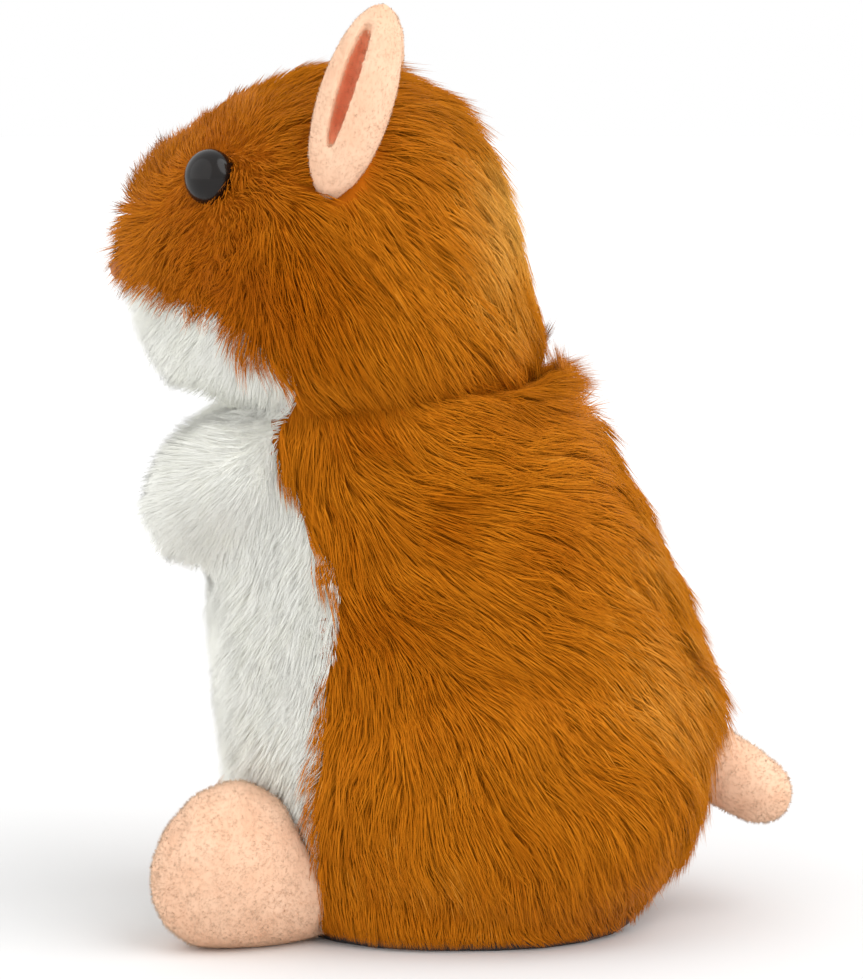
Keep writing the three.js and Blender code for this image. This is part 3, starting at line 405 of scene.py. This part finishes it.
def pile(
    name, shades, places, ups, ways, lengths, widths, lifts, tones, bent, slope, lock=None, gather=0.0
):
    """A piece of closed tapering blades, one for each place. A straight one is thickest at its root. A bent
    one is thickest in its middle, where it turns to lie along its way. Faces are darker near the root."""
    count = len(places)
    sides = unit(np.cross(ups, ways))
    tips = ways * (lengths * np.cos(lifts))[:, None] + ups * (lengths * np.sin(lifts))[:, None]
    if lock is not None:
        tips = tips + (gathered(places + tips, lock) - places - tips) * gather
    middle = places
    if bent:
        middle = places + tips * BEND_AT + ups * (lengths * BEND_RISE * np.cos(lifts))[:, None]
    ring, facings = [], []
    for turn in (0, 120, 240):
        across, out = math.cos(math.radians(turn)), FLATNESS * math.sin(math.radians(turn))
        ring.append(middle + sides * (widths / 2 * across)[:, None] + ups * (widths / 2 * out)[:, None])
        facings.append(unit(ups + ROUNDNESS * (sides * across + ups * out)))
    vertices = ring + [places + tips] + ([places] if bent else [])
    facings += [ups] * (2 if bent else 1)
    points = np.stack(vertices, axis=1)
    points[:, :, 2] = np.maximum(points[:, :, 2], LOWEST)
    each = points.shape[1]
    faces, along = [(0, 1, 3), (1, 2, 3), (2, 0, 3)], [0.75] * 3
    if bent:
        faces, along = faces + [(1, 0, 4), (2, 1, 4), (0, 2, 4)], along + [0.3] * 3
    else:
        faces, along = faces + [(0, 2, 1)], along + [0.0]
    corners = (np.array(faces)[None] + (np.arange(count) * each)[:, None, None]).reshape(-1, 3)
    mesh = bpy.data.meshes.new(name)
    mesh.vertices.add(count * each)
    mesh.vertices.foreach_set("co", points.reshape(-1).astype(np.float32))
    mesh.loops.add(len(corners) * 3)
    mesh.loops.foreach_set("vertex_index", corners.reshape(-1).astype(np.int32))
    mesh.polygons.add(len(corners))
    mesh.polygons.foreach_set("loop_start", np.arange(0, len(corners) * 3, 3, dtype=np.int32))
    mesh.polygons.foreach_set("use_smooth", np.ones(len(corners), bool))
    for shade in shades:
        mesh.materials.append(shade)
    tone = tones[:, None] + slope * (np.array(along)[None] - 0.6)
    index = np.clip(np.floor(tone * len(shades)), 0, len(shades) - 1)
    mesh.polygons.foreach_set("material_index", index.reshape(-1).astype(np.int32))
    mesh.update(calc_edges=True)
    facings = np.stack(facings, axis=1).reshape(-1, 3).astype(np.float32)
    mesh.normals_split_custom_set_from_vertices(facings)
    made = bpy.data.objects.new(name, mesh)
    bpy.context.collection.objects.link(made)
    return made


def fibres(name, stops, count, **values):
    """Dyed fibre in several shades, evenly spaced between the given colours, from dark to light."""
    colours = np.array([linear(stop) for stop in stops])
    made = []
    for index in range(count):
        at = index / (count - 1) * (len(stops) - 1)
        colour = [np.interp(at, range(len(stops)), channel) for channel in colours.T]
        made.append(material(f"{name}_{index + 1}", Base_Color=colour, **values)[0])
    return made


# Dyed polyester, a little glossy where it is combed long, and almost matt where it is brushed or cut
# short. The darkest shades serve as painted shade in the hollows, and the lightest as painted light on
# the crests.
brown_fibre = fibres(
    "combed_brown_polyester", ["#8E4004", "#AE5C08", "#CA7816", "#EAA648"], 9,
    Roughness=0.55, Specular_IOR_Level=0.22, Specular_Tint=linear("#F0A040"),
)
white_fibre = fibres(
    "brushed_white_polyester", ["#F8F8EA", "#FDFDF2", "#FFFFFA"], 5, Roughness=0.9, Specular_IOR_Level=0.1
)
plush_fibre = fibres(
    "short_pink_polyester", ["#DC8A64", "#E4AE8A", "#E8C2A2", "#F0D2B6"], 7,
    Roughness=0.8, Specular_IOR_Level=0.15,
)


def openness(skin_arrays):
    """1 at the skin's points that face open air, and 0 at those in its hollows and underneath it."""
    points, normals, triangles = skin_arrays
    walls = BVHTree.FromPolygons(points.tolist(), triangles.tolist())
    turns = [math.radians(turn) for turn in range(0, 360, 30)]
    ways = [Vector((math.cos(turn), math.sin(turn), 0.25)).normalized() for turn in turns]
    found = np.zeros(len(points))
    for index, (point, up) in enumerate(zip(map(Vector, points), map(Vector, normals))):
        start = point + up * 0.3 * MM
        found[index] = any(way.dot(up) > 0.1 and walls.ray_cast(start, way)[0] is None for way in ways)
    return found


open_air = openness(skin_arrays)


def on_outside(places, ups, corners, shares):
    """True on the outside of the skin, and not in its hollows or underneath it."""
    underneath = (places[:, 2] < 7 * MM) & (ups[:, 2] < -0.6)
    return ((open_air[corners] * shares).sum(1) > 0.5) & ~underneath


def combed(places, ups, lay, seed, length, lift, width, tone, tousle=0.0):
    """Strands' ways, lengths, widths, lifts, tones and locks. Strands near the floor are cut short at the
    hem, which rises towards the back, and lie flatter."""
    chance = np.random.default_rng(seed)
    count = len(places)
    lock = locks_of(places, LOCK_SIZE, seed)
    locks = lock.max() + 1

    def stray(by_lock, by_strand):
        """A random share for each strand: one part the same all over its lock, and one its own."""
        return by_lock * chance.normal(size=locks)[lock] + by_strand * chance.normal(size=count)

    ways = lay_at(places, ups, lay)
    bend = 0.2 * ripple(places, 16 * MM, 21) + stray(0.12, 0.06)
    bend = bend + tousle * (0.5 * ripple(places, 7 * MM, 61) + 0.3 * chance.normal(size=count))
    ways = ways * np.cos(bend)[:, None] + np.cross(ups, ways) * np.sin(bend)[:, None]
    lengths = length * (1 + stray(0.12, 0.12)).clip(0.45, 1.5)
    sink = -(ways[:, 2] * np.cos(lift)).clip(-1, -0.05)
    front = 1.6 * ramp(places[:, 1], -4 * MM, -20 * MM)
    rear = 9.5 * ramp(places[:, 1], 24 * MM, 44 * MM)
    lengths = np.minimum(lengths, ((places[:, 2] - HEM - (front + rear) * MM) / sink).clip(2.2 * MM, 1))
    lifts = lift + stray(0.05, 0.05)
    lifts = lifts * (0.3 + 0.7 * ramp(places[:, 2], 3 * MM, 16 * MM))
    lifts = lifts + 0.09 * ripple(places, 11 * MM, 41) * ramp(places[:, 2], 12 * MM, 24 * MM)
    widths = width * chance.uniform(0.7, 1.3, count)
    tones = tone + stray(0.025, 0.035)
    return ways, lengths, widths, lifts.clip(0.05, 1.4), tones + 0.03 * ripple(places, 22 * MM, 31), lock


# Painted shade and painted light on the brown fur: painted shade darkens it in hollows, folds and the
# shaded cheek, and painted light lightens the crests and the back of the head that face the lamps. Each
# is a place (back, up) in millimetres, a radius and a change of tone.
PAINTED_SHADE_AND_LIGHT = [
    (-14, 60, 6, -0.2), (-6, 75, 5, -0.14), (13, 69, 5, -0.12), (-18, 72, 5, -0.12), (-17, 90, 5, -0.2),
    (-32, 114, 13, -0.26), (-38, 134, 6, -0.14), (-46, 125, 6, -0.1), (8, 95, 8, -0.06),
    (-6, 44, 8, -0.06), (-22, 60, 5, -0.06), (9, 133, 10, 0.3), (4, 120, 13, 0.22), (30, 66, 10, 0.1),
    (34, 45, 14, 0.12), (-2, 84, 9, -0.06), (14, 85, 7, 0.06), (-8, 20, 10, 0.02),
]


def painted_shade_and_light(places):
    """The change of tone at each place: painted shade in the hollows and painted light on the crests."""
    total = np.zeros(len(places))
    for back, up, radius, change in PAINTED_SHADE_AND_LIGHT:
        gap = ((places[:, 1:] / MM - np.array((back, up))) ** 2).sum(1)
        total += change * np.exp(-gap / radius**2)
    return total


def face_share(places):
    """From 0 on the body to 1 on the front of the face, where the pile is short and stands up."""
    return ramp(places[:, 1], -24 * MM, -40 * MM) * ramp(places[:, 2], 103 * MM, 111 * MM)


def ride_near_neck(piece, low, high):
    """Body pieces ride the body, head pieces the head, and pieces across the neck are left on neither."""
    if high <= 80:
        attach(piece, "body")
    elif low >= 116:
        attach(piece, "head")
    else:
        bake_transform(piece)


def banded(places, low, high, left):
    """True between two heights on one side of the animal. The heights follow the tilt of the neck."""
    height = (places[:, 2] - 0.1 * (places[:, 1] + 12 * MM)) / MM
    side = places[:, 0] > 0 if left else places[:, 0] <= 0
    return (height > low) & (height <= high) & side


ear_tree = tree_of(["left_ear", "right_ear"])


def clear_of_ears(places, ups, ways, lengths):
    """False for strands that would grow out of an ear's seam or lie over the ear."""
    clear = np.ones(len(places), bool)
    for index in np.nonzero((places[:, 2] > 118 * MM) & (np.abs(places[:, 0]) > 12 * MM))[0]:
        tip = Vector(places[index] + ways[index] * lengths[index] * 0.9 + ups[index] * lengths[index] * 0.2)
        near_root = ear_tree.find_nearest(Vector(places[index]))[3] < 1.2 * MM
        clear[index] = not near_root and ear_tree.find_nearest(tip)[3] > 1.0 * MM
    return clear


def coat(name, low, high, left, per_mm2, seed, under):
    """A patch of brown pile: short straight undercoat, or longer bent guard strands."""
    places, ups, corners, shares = scattered(skin_arrays, per_mm2, seed)
    brown = (brownness[corners] * shares).sum(1) + ripple(places, 7 * MM, 5) * 0.8 * MM > 0
    keep = brown & on_outside(places, ups, corners, shares) & banded(places, low, high, left)
    places, ups = places[keep], ups[keep]
    back, up = places[:, 1] / MM, places[:, 2] / MM
    face = face_share(places)
    brow = ramp(up, 126, 136) * ramp(back, -16, -26)
    crown = ramp(up, 132, 144) * (1 - brow)
    snout = ramp(back, -46, -53)
    nape = ramp(back, 6, 15) * ramp(up, 87, 92) * (up < 96)
    rump = ramp(back, 30, 40) * ramp(up, 34, 44)
    length = (9.0 - 5.6 * face + 2.4 * snout - 2.4 * brow * (1 - face)) * MM * (0.75 if under else 1)
    lift = 0.18 + 0.4 * face + 0.1 * snout + 0.14 * rump + 0.08 * crown + 0.4 * nape
    width = (0.28 if under else 0.18) * MM
    # painted shade in the hollows and painted light on the crests are added to the fur's tone here
    tone = (0.48 if under else 0.54) + painted_shade_and_light(places)
    values = combed(places, ups, BROWN_LAY, seed, length, lift, width, tone, face)
    clear = clear_of_ears(places, ups, values[0], values[1])
    places, ups, values = places[clear], ups[clear], [value[clear] for value in values]
    made = pile(name, brown_fibre, places, ups, *values[:5], not under, 0.08, lock=values[5], gather=0.16)
    ride_near_neck(made, low, high)


DENSITY = 1.0
UNDERCOAT, GUARD_FUR, WHITE_PILE, NAP = 3.4, 4.2, 8.6, 6.4 # strands on each square millimetre
BROWN_BANDS = [
    ("low", 0, 22), ("thigh", 22, 42), ("flank", 42, 62), ("side", 62, 80), ("shoulder", 80, 96),
    ("jaw", 96, 112), ("cheek", 112, 128), ("crown", 128, 170),
]
WHITE_BANDS = [("belly", 0, 60), ("chest", 60, 88), ("chin", 88, 130)]
WHITE_LENGTH, WHITE_WIDTH, WHITE_LIFT, WHITE_TONE = 3.6 * MM, 0.16 * MM, 0.8, 0.6
seed = 100
for band, low, high in BROWN_BANDS:
    for side, left in (("left", True), ("right", False)):
        seed += 10
        coat(f"{side}_{band}_undercoat", low, high, left, UNDERCOAT * DENSITY, seed, True)
        coat(f"{side}_{band}_guard_fur", low, high, left, GUARD_FUR * DENSITY, seed + 5, False)

for band, low, high in WHITE_BANDS:
    for side, left in (("left", True), ("right", False)):
        seed += 10
        places, ups, corners, shares = scattered(skin_arrays, WHITE_PILE * DENSITY, seed)
        white = (brownness[corners] * shares).sum(1) < 1.2 * MM
        keep = white & on_outside(places, ups, corners, shares) & banded(places, low, high, left)
        places, ups = places[keep], ups[keep]
        length = np.full(len(places), WHITE_LENGTH)
        values = combed(places, ups, WHITE_LAY, seed, length, WHITE_LIFT, WHITE_WIDTH, WHITE_TONE)
        made = pile(f"{side}_{band}_pile", white_fibre, places, ups, *values[:5], False, 0.12)
        ride_near_neck(made, low, high)

# ---------------------------------------------------------------- feet, ears and tail
# They are cut from short, soft pink plush. The feet and the tail are turned right side out and
# stuffed. The ears are folded into narrow cups, deeper pink inside, and sewn into the crown.

NAP_WIDTH = 0.16 * MM
INSIDE_EAR = 1.6 * MM # how far in from the ear's rim its cloth is deep pink


def plush(name, body, voxel, rounds, nap_length):
    """A stuffed or folded piece of plush: its cloth, and the short nap that stands up on it."""
    cloth = copy_of([name], f"{name}_plush", 0.0)
    soften(cloth, voxel, rounds)
    cloth_arrays = arrays(cloth)
    work = bmesh.new()
    work.from_mesh(frame["nodes"][name].data)
    hull = bmesh.ops.convex_hull(work, input=work.verts)
    hull_tree = BVHTree.FromPolygons(
        [v.co.copy() for v in work.verts],
        [[v.index for v in f.verts] for f in hull["geom"] if isinstance(f, bmesh.types.BMFace)],
    )
    work.free()
    depth = np.array([hull_tree.find_nearest(p)[3] for p in map(Vector, cloth_arrays[0])])
    cloth.data.materials.append(pink_backing)
    cloth.data.materials.append(deep_pink_backing)
    folded = "ear" in name
    for polygon in cloth.data.polygons:
        polygon.material_index = int(folded and depth[polygon.vertices[0]] > INSIDE_EAR)
    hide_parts(name)
    chance = np.random.default_rng(len(name) + round(voxel / MM * 10))
    places, ups, corners, shares = scattered(cloth_arrays, NAP * DENSITY, len(name))
    inside = ramp((depth[corners] * shares).sum(1), 0.8 * MM, 3.0 * MM) if folded else np.zeros(len(places))
    keep = places[:, 2] > 0.6 * MM
    places, ups, inside = places[keep], ups[keep], inside[keep]
    count = len(places)
    ways = unit(np.cross(ups, unit(chance.normal(size=(count, 3)))))
    tones = 0.6 + 0.02 * chance.normal(size=count) + 0.05 * ripple(places, 9 * MM, 7) - 0.42 * inside
    lengths, lifts = nap_length * chance.uniform(0.6, 1.3, count), chance.uniform(0.8, 1.4, count)
    widths = np.full(count, NAP_WIDTH)
    nap = pile(f"{name}_nap", plush_fibre, places, ups, ways, lengths, widths, lifts, tones, False, 0.1)
    for piece in (cloth, nap):
        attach(piece, body)


pink_backing = mottled(
    "pink_plush_cloth", "#EABC9C", "#F0C8AA", 160.0, Roughness=0.95, Specular_IOR_Level=0.1
)
deep_pink_backing = mottled(
    "deep_pink_plush_cloth", "#F0966E", "#F4A682", 160.0, Roughness=0.95, Specular_IOR_Level=0.1
)
for side in ("left", "right"):
    plush(f"{side}_foot", "body", 1.6 * MM, 4, 0.6 * MM)
    plush(f"{side}_ear", "head", 0.55 * MM, 3, 0.3 * MM)
plush("tail", "body", 1.4 * MM, 4, 0.6 * MM)

# ---------------------------------------------------------------- eyes
# The eyes are domes moulded in black plastic, each on a stem that a washer holds inside the head. Their
# polish gives one soft reflection of the room.

EYE_TURN, EYE_LIFT = 0.86, 0.12 # how far the eyes look to the side and up, in radians
EYE_FLATNESS = 0.8
eye_gloss = mottled("glossy_black_eye", "#0A0808", "#171210", 300.0, Roughness=0.16, Specular_IOR_Level=0.3)
for side, sign in (("left", 1), ("right", -1)):
    level = Vector((sign * math.sin(EYE_TURN), -math.cos(EYE_TURN), 0)) * math.cos(EYE_LIFT)
    out = level + Vector((0, 0, math.sin(EYE_LIFT)))
    corners = [v.co for v in frame["nodes"][f"{side}_eye"].data.vertices]
    tip = max(corners, key=lambda co: co.dot(out))
    radius = max((co - tip).cross(out).length for co in corners)
    bpy.ops.mesh.primitive_uv_sphere_add(segments=48, ring_count=24, radius=1)
    eye = bpy.context.object
    eye.name = f"{side}_eye_dome"
    depth = radius * EYE_FLATNESS
    facing = out.to_track_quat("Z", "Y").to_matrix().to_4x4()
    eye.data.transform(Matrix.Diagonal((radius, radius, depth, 1)))
    eye.data.transform(Matrix.Translation(tip - out * depth) @ facing)
    bpy.ops.object.shade_smooth()
    eye.data.materials.append(eye_gloss)
    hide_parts(f"{side}_eye")
    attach(eye, "head")

# ---------------------------------------------------------------- nose, sound box and base
# The nose is a small pad of stitched thread, almost lost in the fur of the snout. The sound box, the
# gears and the battery tray are plain moulded, plated and wound parts inside the stuffing.

LOOKS = {
    "nose_thread": mottled("stitched_nose_thread", "#A8643C", "#B87448", 900.0, Roughness=0.6),
    "stuffing": mottled("polyester_fibre_filling", "#ECEAE4", "#FBFAF6", 250.0, Roughness=1.0),
    "white_plastic": mottled("moulded_white_plastic", "#DDDBD5", "#E8E6E0", 60.0, Roughness=0.45),
    "grey_plastic": mottled("moulded_grey_plastic", "#84878A", "#8F9295", 60.0, Roughness=0.5),
    "black_plastic": mottled("textured_black_plastic", "#1A1A1C", "#252527", 400.0, Roughness=0.55),
    "gear_plastic": mottled("natural_acetal", "#EDE9DC", "#F4F1E6", 80.0, Roughness=0.35),
    "steel": mottled("zinc_plated_steel", "#A9ACAF", "#C2C5C8", 200.0, Roughness=0.32, Metallic=1.0),
    "board": mottled("green_solder_mask", "#245A30", "#2F6B3A", 180.0, Roughness=0.4),
    "speaker_paper": mottled("pressed_speaker_paper", "#34322F", "#423F3B", 500.0, Roughness=0.9),
    "cell_jacket": mottled("satin_cell_jacket", "#8F9396", "#A4A8AB", 40.0, Roughness=0.35, Metallic=0.7),
    "red_wire": mottled("red_wire_insulation", "#A8201A", "#BA2A22", 100.0, Roughness=0.5),
    "black_wire": mottled("black_wire_insulation", "#151515", "#202020", 100.0, Roughness=0.5),
}
for part in frame["record"]["subparts"]:
    if part["material_slot"] in LOOKS:
        mesh = frame["nodes"][part["node"]].data
        mesh.materials.clear()
        mesh.materials.append(LOOKS[part["material_slot"]])
